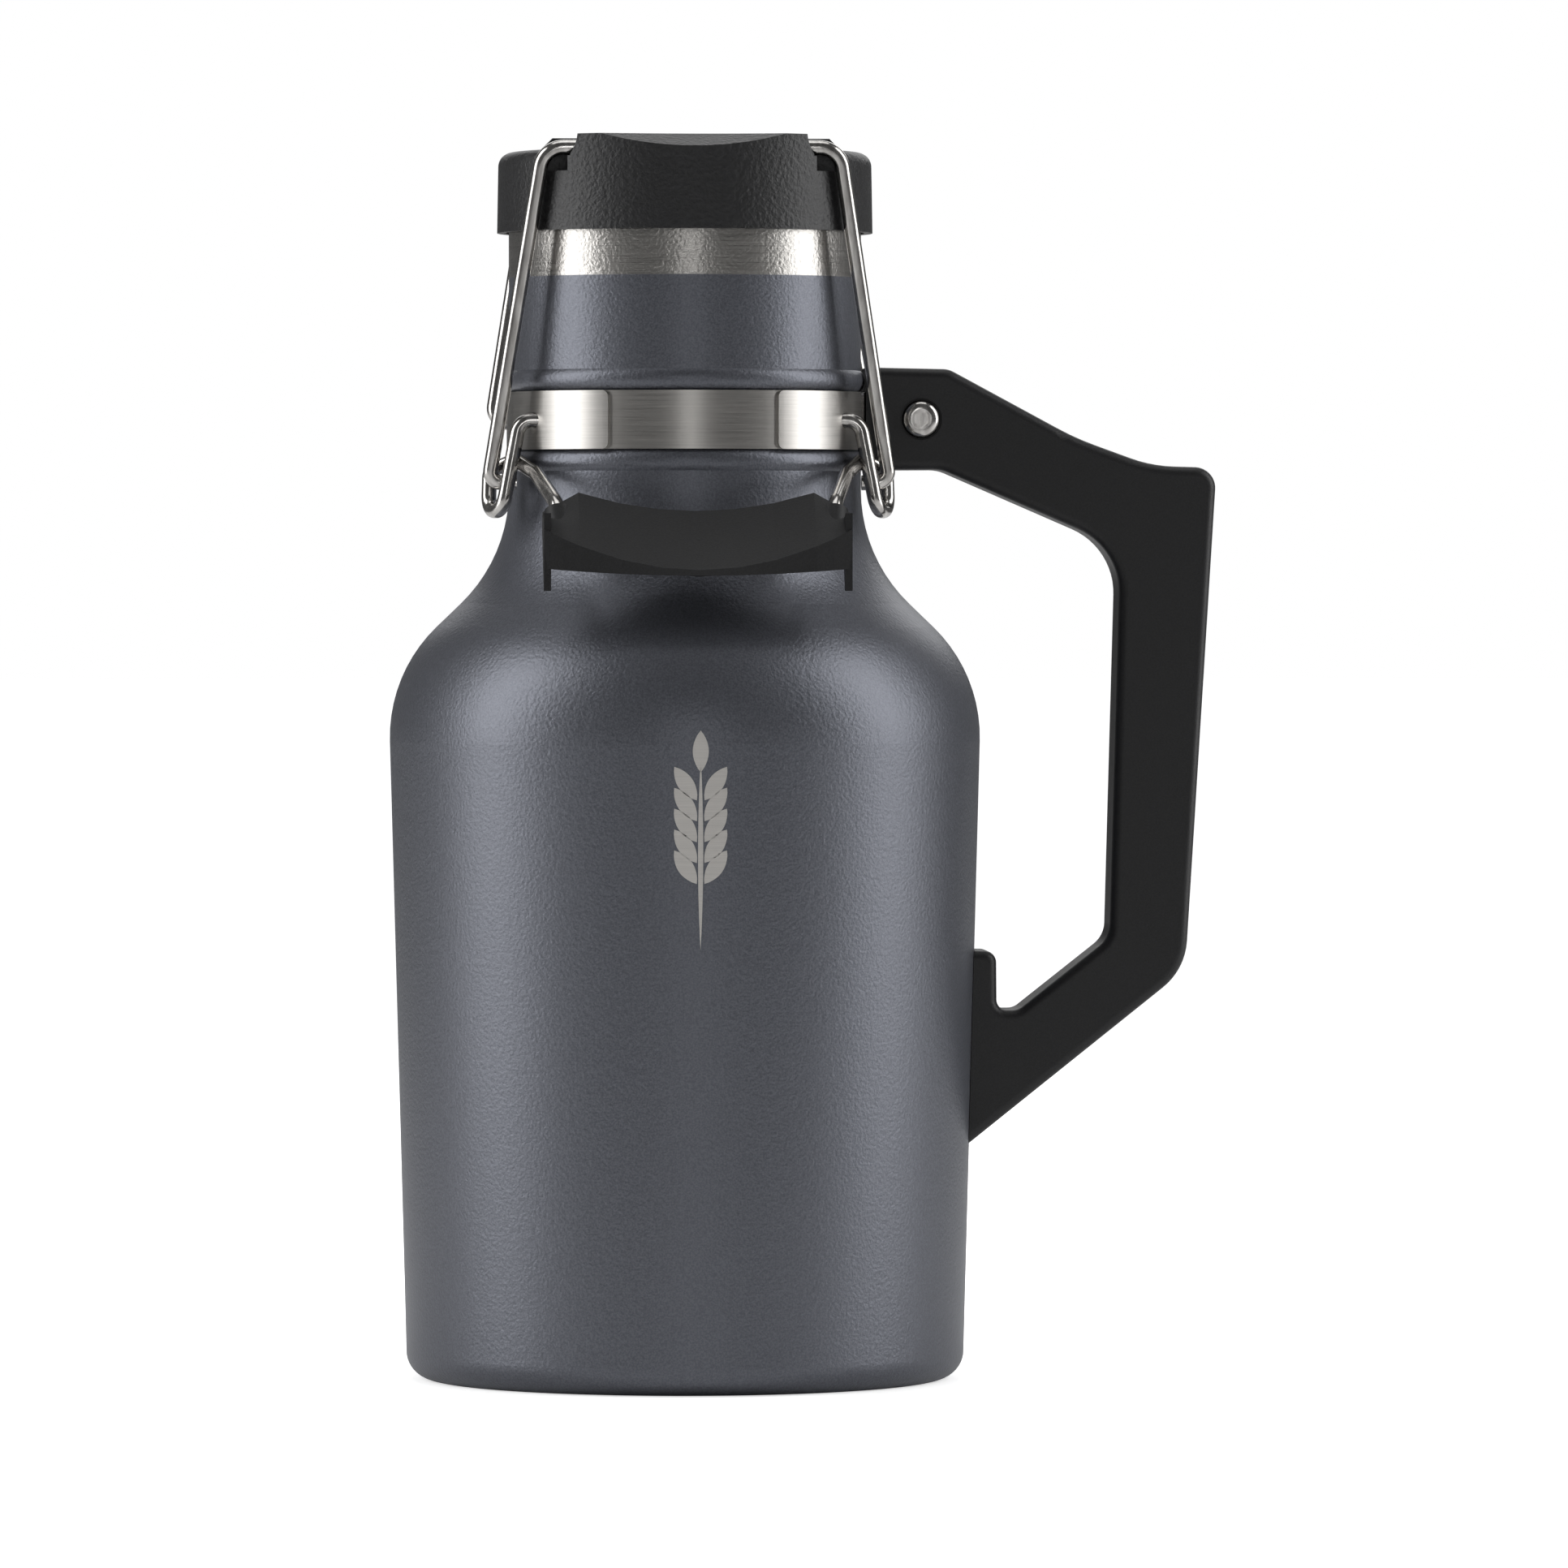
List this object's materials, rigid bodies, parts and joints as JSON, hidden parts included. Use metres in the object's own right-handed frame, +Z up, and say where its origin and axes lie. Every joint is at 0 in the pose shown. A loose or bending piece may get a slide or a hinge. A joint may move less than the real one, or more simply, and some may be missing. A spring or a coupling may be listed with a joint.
{
  "type": "growler",
  "caption": "Insulated steel growler with a shouldered body, side handle with a hook, and a swing-lever wire closure over a moulded cap.",
  "frame": {"origin": "centre of the base, on the surface it stands on", "axes": "+Z up along the vessel's axis, -Y towards the lever's thumb grip, +X towards the handle"},
  "size_m": [0.178, 0.1274, 0.2674],
  "materials": {
    "paint": "fine powder coat",
    "steel": "brushed",
    "wire": "polished",
    "cap_plastic": "fine texture",
    "handle_plastic": "satin",
    "seal": "silicone",
    "foam": "foam"
  },
  "bodies": {
    "root": {"outer_shell": "paint", "inner_liner": "steel", "base_cup": "paint", "vacuum_seal_disc": "steel", "getter": "steel", "neck_band": "steel", "pivot_plate_left": "steel", "pivot_plate_right": "steel", "rear_plate_left": "steel", "rear_plate_right": "steel", "handle_bracket": "steel", "handle": "handle_plastic", "handle_screw": "wire", "handle_nut": "wire", "rear_bail": "wire", "cap_shell": "cap_plastic", "cap_plug": "cap_plastic", "cap_gasket": "seal", "cap_insulation": "foam"},
    "lever": {"lever_wire": "wire", "lever_grip": "handle_plastic"},
    "front_bail": {"front_bail": "wire"}
  },
  "joints": [
    {"name": "lever_pivot", "type": "hinge", "parent": "root", "child": "lever", "pos_m": [0, -0.0203, 0.2065], "axis": [1, 0, 0], "range_deg": [-90, 0]},
    {"name": "front_bail_pivot", "type": "hinge", "parent": "lever", "child": "front_bail", "pos_m": [0, -0.0178, 0.1932], "axis": [1, 0, 0], "range_deg": [0, 75]}
  ],
  "couplings": [
    {"joint": "front_bail_pivot", "follows": "lever_pivot", "ratio": -0.83}
  ]
}
